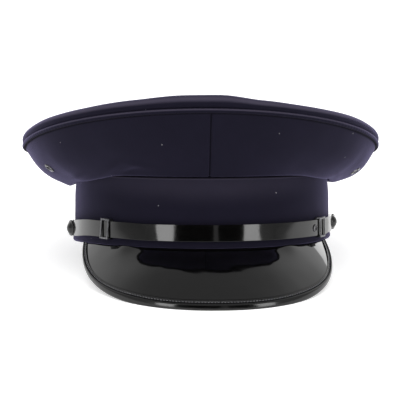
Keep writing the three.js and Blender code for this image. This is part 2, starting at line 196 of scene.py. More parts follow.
def edge_frame(share, step=1e-3):
    """A point on the edge, with the directions out past it and up off the face."""
    after = peak_point(share + step, edge_length(share + step))
    before = peak_point(share - step, edge_length(share - step))
    along = (after - before).normalized()
    down = peak_point(share, PEAK_LENGTH) - peak_point(share, 0)
    up = down.cross(along).normalized()
    return peak_point(share, edge_length(share)), along.cross(up).normalized(), up


def off_edge(share, out, up):
    point, out_way, up_way = edge_frame(share)
    return point + out_way * out + up_way * up


print(f"the peak slopes at {math.degrees(PEAK_SLOPE):.1f} degrees over {PEAK_LENGTH:.0f} mm")

# %% [markdown]
# ## How the cap rests
# Set down on a table, a peaked cap tips back until it stands on the edge of its peak and on the
# back of its band. The tilt follows from those two places. The rest of the move is read from the
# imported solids: the middle of the piping's box has to fall on the middle of its solid's box.
# Soft edges that would dip under the table are flattened on it, as cloth and leather are.

# %% Tip the cap and set it in the frame
FLATTENED = Named(binding=0.3, band=0.5)
BINDING_FOOT = 2.1  # how far the lowest corner of the binding lies under the peak's outer face
BAND_FOOT = 0.2  # how far the band's lowest edge stands out
front_rest = peak_point(0, PEAK_LENGTH).z - BINDING_FOOT * cos(PEAK_SLOPE)
front_reach = peak_point(0, PEAK_LENGTH).y - BINDING_FOOT * sin(PEAK_SLOPE)
back_reach = BAND.half_length + BAND_FOOT
REST_TILT = math.atan2(FLATTENED.band - front_rest - FLATTENED.binding, back_reach - front_reach)
tip = Matrix.Rotation(-REST_TILT, 4, "X")


def middle(points):
    return Vector([(min(values) + max(values)) / 2 for values in zip(*points)])


piping_line = [tip @ (rim_point(angle) * MM) for angle in range(360)]
place_in_frame = Matrix.Translation(middle(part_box("crown_piping")) - middle(piping_line)) @ tip


def seated(point):
    """A point of the level cap in millimetres, as it rests, in metres."""
    resting = place_in_frame @ (point * MM)
    resting.z = max(resting.z, 0.0)
    return resting


print(f"tilt at rest: {math.degrees(REST_TILT):.2f} degrees")
print("move:", [round(v * 1000, 2) for v in place_in_frame.translation], "mm")

# %% [markdown]
# ## Tools of the workshop
# Most of the cap is sheet: cloth or leather cut flat and bent round the block. So most pieces
# start as a flat grid. Its corners are moved to where a formula says, its UVs are set in
# millimetres of cloth so that a weave keeps its real size, and a Solidify modifier gives the wall.
# The alternative, a cylinder shaped with many operators, would end in the same mesh but hide the
# cap's few driving sizes.

# %% Bend a grid into a sheet
def deselect():
    if bpy.context.object and bpy.context.object.mode != "OBJECT":
        bpy.ops.object.mode_set(mode="OBJECT")
    bpy.ops.object.select_all(action="DESELECT")


def only(piece):
    """Makes this piece the one that the next operator works on."""
    deselect()
    piece.select_set(True)
    bpy.context.view_layer.objects.active = piece


def begin(make, name, **settings):
    """Starts a piece from one of Blender's own shapes."""
    deselect()
    make(**settings)
    piece = bpy.context.active_object
    piece.name = piece.data.name = name
    return piece


def edit(piece, *steps):
    """Runs a few edit-mode steps on a whole piece."""
    only(piece)
    bpy.ops.object.mode_set(mode="EDIT")
    bpy.ops.mesh.select_all(action="SELECT")
    for step in steps:
        step()
    bpy.ops.object.mode_set(mode="OBJECT")


def close_seams():
    bpy.ops.mesh.remove_doubles(threshold=1e-6)


def cap_ends():
    bpy.ops.mesh.fill_holes(sides=0)


def face_out():
    bpy.ops.mesh.normals_make_consistent(inside=False)


def sheet_on_cap(name, columns, rows, place, cloth, to_seam=None):
    """A grid with a corner at place(column, row) for each pair, and its cloth in millimetres.

    A second UV map holds how far each corner lies from a seam.
    """
    across, along = len(columns) - 1, len(rows) - 1
    grid = dict(x_subdivisions=across, y_subdivisions=along, size=1)
    piece = begin(bpy.ops.mesh.primitive_grid_add, name, **grid)
    maps = dict(UVMap=cloth)
    if to_seam:
        maps["Seam"] = lambda column, row: (to_seam(column, row), 0)
    corners = []
    for vertex in piece.data.vertices:
        column = columns[round((vertex.co.x + 0.5) * across)]
        row = rows[round((vertex.co.y + 0.5) * along)]
        corners.append((column, row))
        vertex.co = seated(place(column, row))
    for layer, value in maps.items():
        uvs = piece.data.uv_layers.get(layer) or piece.data.uv_layers.new(name=layer)
        for loop in piece.data.loops:
            uvs.data[loop.index].uv = value(*corners[loop.vertex_index])
    return piece


# %% Finish a piece with modifiers
def modifier(piece, kind, **settings):
    """Adds a modifier with its settings and applies it."""
    only(piece)
    added = piece.modifiers.new(kind.title(), kind)
    for name, value in settings.items():
        setattr(added, name, value)
    bpy.ops.object.modifier_apply(modifier=added.name)


def wall(piece, thickness):
    """Gives a sheet its thickness, inward from its outer face."""
    modifier(piece, "SOLIDIFY", thickness=thickness * MM, offset=-1)


def round_edges(piece, width, angle):
    """Rounds the edges that are sharper than an angle."""
    limit = dict(limit_method="ANGLE", angle_limit=radians(angle))
    modifier(piece, "BEVEL", width=width, segments=3, **limit)


def dress(piece, material, slot, *nodes, edge=50):
    """Smooths all but the edges, gives a finish, and puts the piece in place of plain solids."""
    only(piece)
    bpy.ops.object.shade_smooth_by_angle(angle=radians(edge))
    piece.data.materials.clear()
    piece.data.materials.append(material)
    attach(piece, "root")
    if nodes:
        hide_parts(*nodes)
    triangles = sum(len(face.vertices) - 2 for face in piece.data.polygons)
    print(f"{piece.name}: {triangles} triangles")


def sew_in(piece, name, thickness, width, length, *held_by):
    """A sheet gets its wall and finish, and its flat cut is printed, in millimetres."""
    wall(piece, thickness)
    dress(piece, serge, "cap_cloth", name)
    width, length = width * MM, length * MM
    print(f"{name}: cut from {width * 1000:.0f} x {length * 1000:.0f} mm of cloth")


# %% [markdown]
# ## Finishes
# Every finish is a small node tree. One function adds a node and links it, and one turns the
# sRGB colours that the eye reads from a swatch into the linear values that a shader needs.

# %% Nodes and colours
def linear(code):
    """A colour from sRGB hex to linear, with full alpha."""
    values = [int(code[i : i + 2], 16) / 255 for i in (1, 3, 5)]
    return (*[v / 12.92 if v <= 0.04045 else ((v + 0.055) / 1.055) ** 2.4 for v in values], 1.0)


def plug(tree, target, **links):
    """Gives each input, by name or as _number, a value, a hex colour, an output or a node."""
    for name, value in links.items():
        live = [socket for socket in target.inputs if socket.enabled]
        if name[1:].isdigit():
            socket = live[int(name[1:])]
        else:
            socket = next(socket for socket in live if socket.name == name.replace("_", " "))
        if isinstance(value, str):
            value = linear(value)
        if isinstance(value, bpy.types.Node):
            value = next(output for output in value.outputs if output.enabled)
        if isinstance(value, bpy.types.NodeSocket):
            tree.links.new(value, socket)
        else:
            socket.default_value = value


def node(tree, kind, settings=None, **links):
    """Adds a node with its settings and links."""
    added = tree.nodes.new("ShaderNode" + kind)
    for name, value in (settings or {}).items():
        setattr(added, name, value)
    plug(tree, added, **links)
    return added


def finish_named(name):
    """A new material, its tree and its shader."""
    material = bpy.data.materials.new(name)
    material.use_nodes = True
    tree = material.node_tree
    return material, tree, tree.nodes["Principled BSDF"]


def plain(name, code, roughness):
    material, tree, shader = finish_named(name)
    plug(tree, shader, Base_Color=code, Roughness=roughness)
    return material


# Settings that several nodes share.
NUMBERS, COLOURS = dict(data_type="FLOAT"), dict(data_type="RGBA")
EASED = dict(interpolation_type="SMOOTHSTEP")
TIMES, TIMES_PLUS = dict(operation="MULTIPLY"), dict(operation="MULTIPLY_ADD")


# %% [markdown]
# ### Navy serge
# Uniform cloth is wool serge: a twill, so fine ribs run steeply across it, fulled until a short
# nap hides them. It is nearly black in the middle of a surface, and its nap catches the light
# where the cloth turns away from the eye, which gives the cap its soft violet outline.
# Sheen makes that outline. The ribs lie 0.5 mm apart on the real cloth; they are drawn at 1 mm,
# the finest that still shows, and faintly. Beside a seam the iron presses the nap flat, and there
# the cloth is painted toward a dark ground, a painted shade in the seam's groove: a second UV map
# tells how far the seam is. Where the padded roll of the crown faces up, it is painted a shade
# lighter, a painted top light, and a few specks of lint lie about.

# %% Wool serge
# The shadow colour is painted shade for the grooves of the seams.
CLOTH = Named(
    # The lighter violet grey in this row, after shadow, is a painted top light for the roll.
    ribs="#11101a", nap="#1b1928", shadow="#08070f", dusty="#454150", lint="#b4b2b8",
    sheen="#8f88b4",
)
RIBS = Named(spacing=1.0, slant=27, waver=0.6, share=0.55, height=0.12)  # spacing in millimetres
FUZZ_PER_MM, PATCHES_PER_MM = 1.4, 0.035
WAVES_PER_UNIT = 20 / (2 * pi)  # what one unit of a Wave texture holds at scale 1
# Beside a seam and that far off: the nap pressed flat, and painted shade in the seam's groove.
SEAM_NAP_AND_SHADE = Named(pressed=0.05, standing=0.88, within=1.6)  # beside a seam, and that far off
# A painted top light lightens the cloth where it faces up and stands high.
TOP_LIGHT = Named(level=0.0, tilted=0.6, low=0.055, high=0.075)  # how cloth faces, and heights in metres
# Where the cloth faces nearly straight up, less of the painted top light is left.
STRAIGHT_UP_FADE = Named(start=0.7, left=0.3)  # where cloth faces nearly straight up, its dust is rubbed off
LINT = Named(spacing=60.0, radius=0.26, astray=2.5)  # in millimetres of cloth


def wool_serge():
    material, tree, shader = finish_named("navy_wool_serge")
    cloth = node(tree, "UVMap", dict(uv_map="UVMap"))
    turned = node(tree, "Mapping", Vector=cloth, Rotation=(0, 0, radians(RIBS.slant)))
    ribs = node(
        tree, "TexWave", dict(wave_type="BANDS", bands_direction="X", wave_profile="SIN"),
        Vector=turned, Scale=1 / (RIBS.spacing * WAVES_PER_UNIT), Distortion=RIBS.waver,
        Detail=2.0,
    )
    fuzz = node(tree, "TexNoise", Vector=cloth, Scale=FUZZ_PER_MM, Detail=4.0, Roughness=0.7)
    patches = node(tree, "TexNoise", Vector=cloth, Scale=PATCHES_PER_MM, Detail=3.0)
    less = 1 - RIBS.share
    weave = node(tree, "Mix", NUMBERS, Factor=less, A=ribs.outputs["Fac"], B=fuzz)
    tone = node(tree, "Mix", NUMBERS, Factor=less, A=weave, B=patches)
    colour = node(tree, "Mix", COLOURS, Factor=tone, A=CLOTH.ribs, B=CLOTH.nap)
    bump = node(tree, "Bump", Strength=0.35, Distance=RIBS.height * MM, Height=weave)

    # Painted top light: the cloth is painted lighter where it faces up and stands high, on the roll
    # of the crown, and less so where it faces nearly straight up.
    facing = node(tree, "NewGeometry")
    up = node(tree, "SeparateXYZ", Vector=facing.outputs["Normal"]).outputs["Z"]
    upward = node(tree, "MapRange", EASED, Value=up, From_Min=TOP_LIGHT.level, From_Max=TOP_LIGHT.tilted)
    height = node(tree, "SeparateXYZ", Vector=facing.outputs["Position"]).outputs["Z"]
    above = node(tree, "MapRange", EASED, Value=height, From_Min=TOP_LIGHT.low, From_Max=TOP_LIGHT.high)
    # The masks below, rubbed and dust among them, shape the painted top light.
    rubbed = node(
        tree, "MapRange", EASED, Value=up, From_Min=STRAIGHT_UP_FADE.start, From_Max=1.0, To_Min=1.0,
        To_Max=STRAIGHT_UP_FADE.left,
    )
    high_and_upward = node(tree, "Math", TIMES, _0=upward, _1=above)
    dust = node(tree, "Math", TIMES, _0=high_and_upward, _1=rubbed)
    top_lit = node(tree, "Mix", COLOURS, Factor=dust, A=colour, B=CLOTH.dusty)

    # A speck of lint lies in the middle of each cell of a pattern that the fuzz pushes astray.
    astray = node(
        tree, "VectorMath", TIMES_PLUS, _0=fuzz.outputs["Color"],
        _1=(LINT.astray, LINT.astray, 0.0), _2=cloth,
    )
    specks = node(
        tree, "TexVoronoi", dict(voronoi_dimensions="2D"), Vector=astray, Scale=1 / LINT.spacing
    )
    lint = node(tree, "Math", dict(operation="LESS_THAN"), _0=specks, _1=LINT.radius / LINT.spacing)
    linted = node(tree, "Mix", COLOURS, Factor=lint, A=top_lit, B=CLOTH.lint)

    # Beside a seam the nap is pressed flat and the colour is painted toward CLOTH.shadow, a painted
    # shade in the seam's groove; off the seam the nap stands.
    seam = node(tree, "UVMap", dict(uv_map="Seam"))
    off_seam = node(tree, "SeparateXYZ", Vector=seam).outputs["X"]
    standing = node(
        tree, "MapRange", EASED, Value=off_seam, From_Min=0.0, From_Max=SEAM_NAP_AND_SHADE.within,
        To_Min=SEAM_NAP_AND_SHADE.pressed, To_Max=SEAM_NAP_AND_SHADE.standing,
    )
    pressed = node(tree, "Mix", COLOURS, Factor=standing, A=CLOTH.shadow, B=linted)
    plug(
        tree, shader, Base_Color=pressed, Roughness=0.92, Specular_IOR_Level=0.08,
        Sheen_Weight=standing, Sheen_Roughness=0.35, Sheen_Tint=CLOTH.sheen, Normal=bump,
    )
    return material


serge = wool_serge()
print("material:", serge.name, "with ribs every", RIBS.spacing, "mm")

# %% [markdown]
# ### Patent leather
# Patent leather is split hide under a flexible lacquer. The lacquer is a black mirror: its colour
# is almost nothing, and all that shows is what it reflects, about a twenty-fifth of the light
# straight on and far more at a glancing angle. So it has a plain lacquer's IOR, a very low
# roughness, and only the faintest ripple from the hide beneath.

# %% Patent leather and its thread
LACQUER = Named(black="#020202", worn="#060606", ripple=9.0, dust_per_metre=900.0, dulled=1.8)


def patent_leather(name, roughness, ripple):
    material, tree, shader = finish_named(name)
    place = node(tree, "TexCoord").outputs["Object"]
    size = LACQUER.ripple * MM
    hide = node(tree, "TexNoise", Vector=place, Scale=1 / size, Detail=1.5, Roughness=0.4)
    dust = node(tree, "TexNoise", Vector=place, Scale=LACQUER.dust_per_metre, Detail=3.0)
    gloss = node(
        tree, "MapRange", Value=dust, From_Min=0.35, From_Max=0.75, To_Min=roughness,
        To_Max=roughness * LACQUER.dulled,
    )
    colour = node(tree, "Mix", COLOURS, Factor=hide, A=LACQUER.black, B=LACQUER.worn)
    bump = node(tree, "Bump", Strength=1.0, Distance=ripple * MM, Height=hide)
    plug(tree, shader, Base_Color=colour, Roughness=gloss, IOR=1.5, Normal=bump)
    return material


peak_patent = patent_leather("black_patent_leather", 0.035, 0.02)
hem_patent = patent_leather("black_patent_hem_leather", 0.11, 0.03)
strap_patent = patent_leather("black_patent_strap_leather", 0.07, 0.03)
# The waxed thread is dark; its grey is lighter than that, a painted highlight for its glints.
thread = plain("dark_waxed_thread", "#5e5e62", 0.3)
print("lacquer:", peak_patent.name, "and", strap_patent.name)

# %% [markdown]
# ### Small metal and the buttons
# The slides are stamped steel with dark nickel plate, rubbed bright. The vent eyelets and the
# rivet are steel in black lacquer, worn to metal on their rims. The side buttons are moulded in
# glossy black plastic. All are small, so each finish needs only a colour, a gloss and some wear.

# %% Plate, lacquer and moulded plastic
def mottled(name, per_metre, detail):
    """A new finish with a fine mottle in its place: the material, tree, shader and mottle."""
    material, tree, shader = finish_named(name)
    place = node(tree, "TexCoord").outputs["Object"]
    mottle = node(tree, "TexNoise", Vector=place, Scale=per_metre, Detail=detail)
    return material, tree, shader, mottle


def plated_steel():
    material, tree, shader, rubbed = mottled("dark_nickel_plated_steel", 700.0, 4.0)
    colour = node(tree, "Mix", COLOURS, Factor=rubbed, A="#4b4b4d", B="#7c7c7f")
    gloss = node(tree, "MapRange", Value=rubbed, To_Min=0.22, To_Max=0.42)
    plug(tree, shader, Base_Color=colour, Metallic=1.0, Roughness=gloss)
    return material


def lacquered_steel():
    material, tree, shader, worn = mottled("black_lacquered_steel", 420.0, 4.0)
    bare = node(tree, "MapRange", Value=worn, From_Min=0.55, From_Max=0.68)
    colour = node(tree, "Mix", COLOURS, Factor=bare, A="#17161b", B="#a09ea6")
    plug(tree, shader, Base_Color=colour, Metallic=bare, Roughness=0.25, IOR=1.5)
    return material


def moulded_plastic():
    material, tree, shader, scuffs = mottled("glossy_black_moulded_plastic", 500.0, 5.0)
    gloss = node(
        tree, "MapRange", Value=scuffs, From_Min=0.4, From_Max=0.7, To_Min=0.12, To_Max=0.3
    )
    plug(tree, shader, Base_Color="#0e0d0e", Roughness=gloss, IOR=1.49)
    return material


nickel = plated_steel()
black_steel = lacquered_steel()
button_plastic = moulded_plastic()
print("small finishes:", nickel.name, black_steel.name, button_plastic.name)

# %% [markdown]
# ## The crown
# The crown is an oval top and four flared quarters, joined by a corded seam. Inside, a wire hoop
# holds the seam taut, so the top is nearly flat and sags a little, and a stay lifts the front.
# The cloth of the quarters is not stretched: it bellies out, and beside the wearer's temples it
# folds down over the band. The folds come from the same tables as the solids; seams, slack and
# small creases are added here, because they are too fine for a solid.

# %% Slack and creases of the cloth
SLACK = Named(size=38.0, height=0.5, fine_size=13.0, fine_height=0.14)


def slack(point):
    """Soft unevenness of cloth, in millimetres out of its surface."""
    broad = noise.noise(point / SLACK.size) * SLACK.height
    return broad + noise.noise(point / SLACK.fine_size) * SLACK.fine_height


# Creases: where they lie, how they slant, how long, wide and high they are.
CREASES = table(
    "angle share slant length width height",
    (-41, 0.20, 24, 13, 2.4, 0.7), (-33, 0.13, 18, 10, 2.2, -0.6), (-27, 0.22, -12, 9, 3.0, 0.4),
    (-66, 0.17, 8, 14, 2.2, 0.8), (48, 0.14, -14, 14, 3.0, 0.5), (70, 0.20, -10, 12, 2.6, 0.7),
    (128, 0.25, 20, 20, 5.0, 0.8), (-140, 0.30, -16, 22, 5.0, 0.9),
)


def crease(angle, share, radius, length):
    """How far the creases lift the cloth of a quarter at a place."""
    lift = 0.0
    for row in CREASES:
        across = radians(turn_from(row["angle"], angle)) * radius
        up = (share - row["share"]) * length
        turn = radians(row["slant"])
        along = across * cos(turn) + up * sin(turn)
        aside = up * cos(turn) - across * sin(turn)
        lift += row["height"] * hump(along, row["length"]) * hump(aside, row["width"])
    return lift


# %% The quarters
GAP = 0.3
CLOTH_WALL = 1.8
TUCK = 0.6
FOLD = Named(start=0.05, fade=3.0, height=1.3)
QUARTER_SHAPE = table(
    "angle hang belly",
    (-180, 7.0, 6.5), (-135, 9.0, 7.0), (-90, 10.6, 9.2), (-65, 6.5, 6.5), (-35, 0.5, 3.0),
    (0, 0.0, 2.0), (35, 0.5, 3.0), (65, 4.6, 6.5), (90, 8.2, 9.4), (135, 8.5, 7.0), (180, 7.0, 6.5),
)
QUARTERS = dict(
    quarter_front_left=(0, 90),
    quarter_front_right=(-90, 0),
    quarter_back_left=(90, 180),
    quarter_back_right=(180, 270),
)
QUARTER_GRID = Named(columns=150, rows=48, at_seams=0.85, at_hem=1.35)  # and how it crowds
SEAM_VALLEY = Named(depth=0.9, width=0.9)
HEM_VALLEY = Named(depth=0.8, width=0.7)
RIM_RADIUS = (RIM.half_width + RIM.half_length) / 2
BAND_RADIUS = (BAND.half_width + BAND.half_length) / 2


def seam_point(angle):
    return on_band(angle, BAND.height, BAND_PROFILE[-1]["out"] + GAP)


def quarter_profile(angle, share):
    """The outer face of a quarter: its distance out from the band's seam and its height."""
    turn = turn_from(0, angle)
    rim, seam = rim_point(angle), seam_point(angle)
    foot = Vector((0, seam.z))
    top = Vector((math.hypot(rim.x - seam.x, rim.y - seam.y) - TUCK, rim.z - PIPING_RADIUS))
    run = top - foot
    belly = ease(QUARTER_SHAPE, "angle", turn, "belly") * sin(pi * share)
    bulge = Vector((run.y, -run.x)).normalized() * belly
    fold = FOLD.height * math.tanh(share / FOLD.start) * (1 - share) ** FOLD.fade
    hang = ease(QUARTER_SHAPE, "angle", turn, "hang") * fold
    return foot.lerp(top, share) + bulge - Vector((0, hang))


def quarter_point(angle, share, lift=0.0):
    """A point of a quarter, lifted off its smooth outer face."""
    step = 1e-3
    ahead = quarter_profile(angle, min(share + step, 1))
    slope = (ahead - quarter_profile(angle, max(share - step, 0))).normalized()
    place = quarter_profile(angle, share) + Vector((slope.y, -slope.x)) * lift
    point = seam_point(angle) + rim_outward(angle) * place.x
    point.z = place.y
    return point


def pulled_in(out, to_seam, to_hem):
    """The cloth's stand, less the valleys that stitches pull in it beside a seam and a hem."""
    out -= SEAM_VALLEY.depth * hump(to_seam, SEAM_VALLEY.width)
    return out - HEM_VALLEY.depth * hump(to_hem, HEM_VALLEY.width)


def crowded(start, end, steps, amount):
    """Values from start to end that crowd toward both ends."""
    shares = evenly(0, 1, steps)
    return [blend(start, end, s - amount * sin(2 * pi * s) / (2 * pi)) for s in shares]


def quarter(name, start, end):
    middle_angle = (start + end) / 2
    height = walk(quarter_profile(middle_angle, share) for share in evenly(0, 1, 40))

    def to_side(angle, radius):
        """The way to the nearer of the two upright seams."""
        return radians(min(angle - start, end - angle)) * radius

    def place(angle, share):
        radius = blend(BAND_RADIUS, RIM_RADIUS, share)
        loose = sin(pi * share) ** 0.5
        lift = slack(quarter_point(angle, share)) * loose + crease(angle, share, radius, height)
        lift = pulled_in(lift, to_side(angle, radius), share * height)
        return quarter_point(angle, share, lift)

    def cloth(angle, share):
        return radians(angle) * RIM_RADIUS, share * height

    def to_seam(angle, share):
        aside = to_side(angle, blend(BAND_RADIUS, RIM_RADIUS, share))
        return min(aside * 2, share * height, (1 - share) * height)

    columns = crowded(start, end, QUARTER_GRID.columns, QUARTER_GRID.at_seams)
    rows = [share**QUARTER_GRID.at_hem for share in evenly(0, 1, QUARTER_GRID.rows)]
    piece = sheet_on_cap(name, columns, rows, place, cloth, to_seam)
    width = walk(rim_point(angle) for angle in evenly(start, end, 60))
    length = walk(quarter_point(middle_angle, share) for share in evenly(0, 1, 60))
    sew_in(piece, name, CLOTH_WALL, width, length, "band", "crown_piping")


for name, ends in QUARTERS.items():
    quarter(name, *ends)

# %% [markdown]
# ### The top and its roll
# The top is cut larger than the hoop and eased over a padded roll, so its edge is round. Walking
# in from the piping, the cloth goes up and over the roll and then runs flat to the middle. Both
# stretches are one profile, and the profile is taken round the cap.

# %% The top
ROLL = Named(inward=3.3, up=4.5, half_width=4.9, half_height=4.0, start=-72, end=98)
TOP_SAG = 5.0
TOP_SLACK = Named(scale=0.8, shift=Vector((7, 3, 5)))  # its waves are not those of the quarters
HIDDEN_FOOT = 1.2  # the piping hides this much of the roll
# How far the stay and the wadding lift the roll, round the cap.
ROLL_LIFT = table(
    "angle lift",
    (-180, 0.0), (-45, -0.2), (-24, 0.5), (-9, 1.5), (3, 1.6), (16, -0.5), (26, -0.9), (60, -0.5),
    (110, 0.0),
)


def top_height(angle, share):
    """Height of the sheet over its oval: tilted, a little saddle-shaped, and sagging."""
    front, back = rim_point(0).z, rim_point(180).z
    level = (front + back) / 2
    tilt = (front - back) / 2 * cos(radians(angle))
    rest = rim_point(angle).z - level - tilt
    saddle = (rim_point(90).z - level) / 2
    return level + tilt * share + rest * share**2 + (saddle - TOP_SAG) * (1 - share**2)


def roll_point(angle, turn):
    """A point of the roll. Its foot stays sewn to the piping, so only the upper part lifts."""
    over = (turn - ROLL.start) / (ROLL.end - ROLL.start)
    lift = ease(ROLL_LIFT, "angle", turn_from(0, angle), "lift") * sin(pi / 2 * over)
    out = -ROLL.inward + ROLL.half_width * cos(radians(turn))
    return off_rim(angle, out, ROLL.up + ROLL.half_height * sin(radians(turn)) + lift)


def top_point(angle, row):
    """Rows from 0 to 1 go over the roll, and from 1 to 2 in to the middle."""
    if row <= 1:
        point = roll_point(angle, blend(ROLL.start, ROLL.end, row))
        loose = row
    else:
        share = 2 - row
        edge = roll_point(angle, ROLL.end)
        point = RIM_SHIFT.lerp(edge, share)
        above = blend(ROLL.up + ROLL.half_height, edge.z - top_height(angle, 1), share**4)
        point.z = top_height(angle, share) + above
        loose = 1
    wave = slack(point * TOP_SLACK.scale + TOP_SLACK.shift)
    return point + Vector((0, 0, wave * loose))


def top_cloth(angle, row):
    """The top is cut as an oval, so its thread runs straight from front to back."""
    share = 1 - row / 2
    flat = oval(RIM.half_width, RIM.half_length, angle) * share
    return flat.x, flat.y


def top_to_seam(angle, row):
    return row * radians(ROLL.end - ROLL.start) * ROLL.half_width - HIDDEN_FOOT


top_rows = evenly(0, 1, 18) + evenly(1, 2, 34)[1:]
top_columns = evenly(-180, 180, 216)
crown_top = sheet_on_cap("crown_top", top_columns, top_rows, top_point, top_cloth, top_to_seam)
edit(crown_top, close_seams)


def over_top(angle):
    """The way over the top, from the seam to the middle."""
    return walk(top_point(angle, row) for row in top_rows)


top_width, top_length = over_top(90) + over_top(-90), over_top(0) + over_top(180)
sew_in(crown_top, "crown_top", CLOTH_WALL, top_width, top_length, "crown_piping")

# %% [markdown]
# ### The piping
# A cord wrapped in a strip of the same cloth is sewn into the seam between top and quarters. It
# is a closed ring, so the grid is closed both ways. A strip cut on the bias makes its ribs run
# round the cord at a slant, and its cover puckers slightly between stitches.

# %% The piping
PUCKER = Named(pitch=3.5, height=0.06)
PIPING_COVER = 0.15  # how much thicker the cover makes the cord
PIPING_FACE = Named(half_angle=72, nap=0.3)  # how much of it is out of the seam


def piping_point(angle, turn):
    along = radians(angle) * RIM_RADIUS
    pucker = PUCKER.height * cos(2 * pi * along / PUCKER.pitch)
    radius = PIPING_RADIUS + PIPING_COVER + pucker
    spot = radians(turn)
    return off_rim(angle, radius * cos(spot), radius * sin(spot))


def piping_cloth(angle, turn):
    return radians(angle) * RIM_RADIUS, radians(turn) * PIPING_RADIUS


# This distance also darkens the grooves beside the piping with painted shade and less sheen.
def piping_to_seam(angle, turn):
    """The piping is in its seam wherever it doesn't face out."""
    inside = radians(PIPING_FACE.half_angle - abs(turn_from(0, turn)))
    return max(0.0, PIPING_RADIUS * inside + PIPING_FACE.nap)


piping = sheet_on_cap(
    "crown_piping", evenly(-180, 180, 900), evenly(0, 360, 16), piping_point, piping_cloth,
    piping_to_seam,
)
edit(piping, close_seams, face_out)
dress(piping, serge, "cap_cloth", "crown_piping", edge=80)

# %% [markdown]
# ## The band
# The band is a strip of cloth over stiff interlining, seamed at the back. Its lower edge is
# turned round a thin cord, which makes the small roll above the peak. The roll is half an ellipse
# that runs out softly into the wall; a Solidify modifier adds the thickness.

# %% The band
BAND_ROLL = Named(up=1.35, half_height=1.35, half_width=1.3, fade=5.5)
# Above the roll, the rows of the grid crowd at its top and at the seam with the crown.
BAND_ROWS = table("top steps", (6.0, 14), (44.6, 14), (BAND.height, 10))
BAND_SLACK = Named(share=0.5, start=3.0, fade=8.0)


def band_out(height):
    """How far the band's face stands out, with the roll at its foot."""
    wall_out = ease(BAND_PROFILE, "z", height, "out")
    above = height - BAND_ROLL.up
    if above < 0:
        return BAND_ROLL.half_width * math.sqrt(max(0.0, 1 - (above / BAND_ROLL.half_height) ** 2))
    return wall_out + BAND_ROLL.half_width * hump(above, BAND_ROLL.fade / 2)


def band_heights():
    """Heights of the rows: round the lower half of the roll, then up the wall."""
    turns = evenly(0, 90, 10)
    heights = [BAND_ROLL.up - BAND_ROLL.half_height * cos(radians(turn)) for turn in turns]
    for stretch in BAND_ROWS:
        heights += evenly(heights[-1], stretch["top"], stretch["steps"])[1:]
    return heights


def band_point(angle, height):
    to_back = radians(180 - abs(angle)) * BAND_RADIUS
    out = pulled_in(band_out(height), to_back, BAND.height - height)
    smooth_point = on_band(angle, height, out)
    loose = min(1, max(0, (height - BAND_SLACK.start) / BAND_SLACK.fade))
    return on_band(angle, height, out + slack(smooth_point) * BAND_SLACK.share * loose)


def band_cloth(angle, height):
    return radians(angle) * BAND_RADIUS, height


def band_to_seam(angle, height):
    return min(radians(180 - abs(angle)) * BAND_RADIUS, BAND.height - height)


band_columns = crowded(-180, 180, steps=320, amount=0.7)
band = sheet_on_cap("band", band_columns, band_heights(), band_point, band_cloth, band_to_seam)
edit(band, close_seams)
band_width = walk(on_band(angle, 20) for angle in range(361))
band_length = walk(on_band(0, height, band_out(height)) for height in band_heights())
sew_in(band, "band", BAND.wall, band_width, band_length)

# %% [markdown]
# ## The peak
# The peak is pressed from board faced with patent leather. It leaves the band at one steep slope
# all round, so its face is part of a cone. A mirror finish shows every fault of such a face, so
# the grid is fine. The board isn't quite even: it has a slow ripple, a curl where it is sewn to
# the band, and a few wide places where it swells by less than a millimetre. They bend what the
# peak reflects, and are too slight to see in its outline.

# %% The peak
PEAK_ENDS = Named(binding=0.985, peak=0.955, crowding=0.85)
PEAK_RIPPLES = table("size height", (32.0, 0.05), (9.0, 0.045))
SLOT_DEPTH = 2.7
TUCKED = 2.4  # how far the peak runs up behind the band's rolled edge
ROOT_CURL = Named(height=0.15, spread=4.0)  # the board curls up a little where it meets the band
# The swells: where they are along the peak and down it, how broad and how high.
PEAK_SWELLS = table(
    "share row size height",
    (-0.52, 0.80, 22.0, 0.75), (0.10, 0.85, 26.0, 0.16), (-0.13, 0.50, 17.0, 0.40),
    (-0.34, 0.44, 15.0, 0.50), (0.34, 0.42, 15.0, 0.35), (0.67, 0.62, 16.0, 0.85),
    (-0.55, -0.03, 8.0, 0.90), (0.54, -0.03, 8.0, 0.90),
)


def edge_shares(end, steps):
    """Shares of the half angle that crowd toward the two ends of the peak."""
    turn = pi / 2 * PEAK_ENDS.crowding
    return [end * sin(place) / sin(turn) for place in evenly(-turn, turn, steps)]


def peak_face(share, row):
    root = peak_point(share, -TUCKED)
    edge = off_edge(share, -SLOT_DEPTH - GAP, 0)
    point = root.lerp(edge, row)
    rise = sum(noise.noise(point / wave["size"]) * wave["height"] for wave in PEAK_RIPPLES)
    rise += ROOT_CURL.height * hump(row * (edge - root).length - TUCKED, ROOT_CURL.spread)
    for swell in PEAK_SWELLS:
        middle_point = peak_point(swell["share"], swell["row"] * PEAK_LENGTH)
        rise += swell["height"] * hump((point - middle_point).length, swell["size"])
    return point + edge_frame(share)[2] * rise


def peak_leather(share, row):
    return share * radians(PEAK.half_angle) * BAND_RADIUS, row * PEAK_LENGTH


peak = sheet_on_cap(
    "peak", edge_shares(PEAK_ENDS.peak, 180), evenly(0, 1, 44), peak_face, peak_leather
)
edit(peak, bpy.ops.mesh.flip_normals)
wall(peak, PEAK.wall)
dress(peak, peak_patent, "patent_peak", "peak")

# %% [markdown]
# ### Its binding
# A strip of the same leather is folded over the edge of the peak and sewn through. Its section is
# read from the inside out: a thin flat margin, the furrow where the stitches pull it down, and a
# full round over the edge. The round is drawn with four arcs, because the strip is stretched over
# board and cord and lies almost flat between them. At each needle hole the leather is pinched, so
# the grid is fine along the edge.

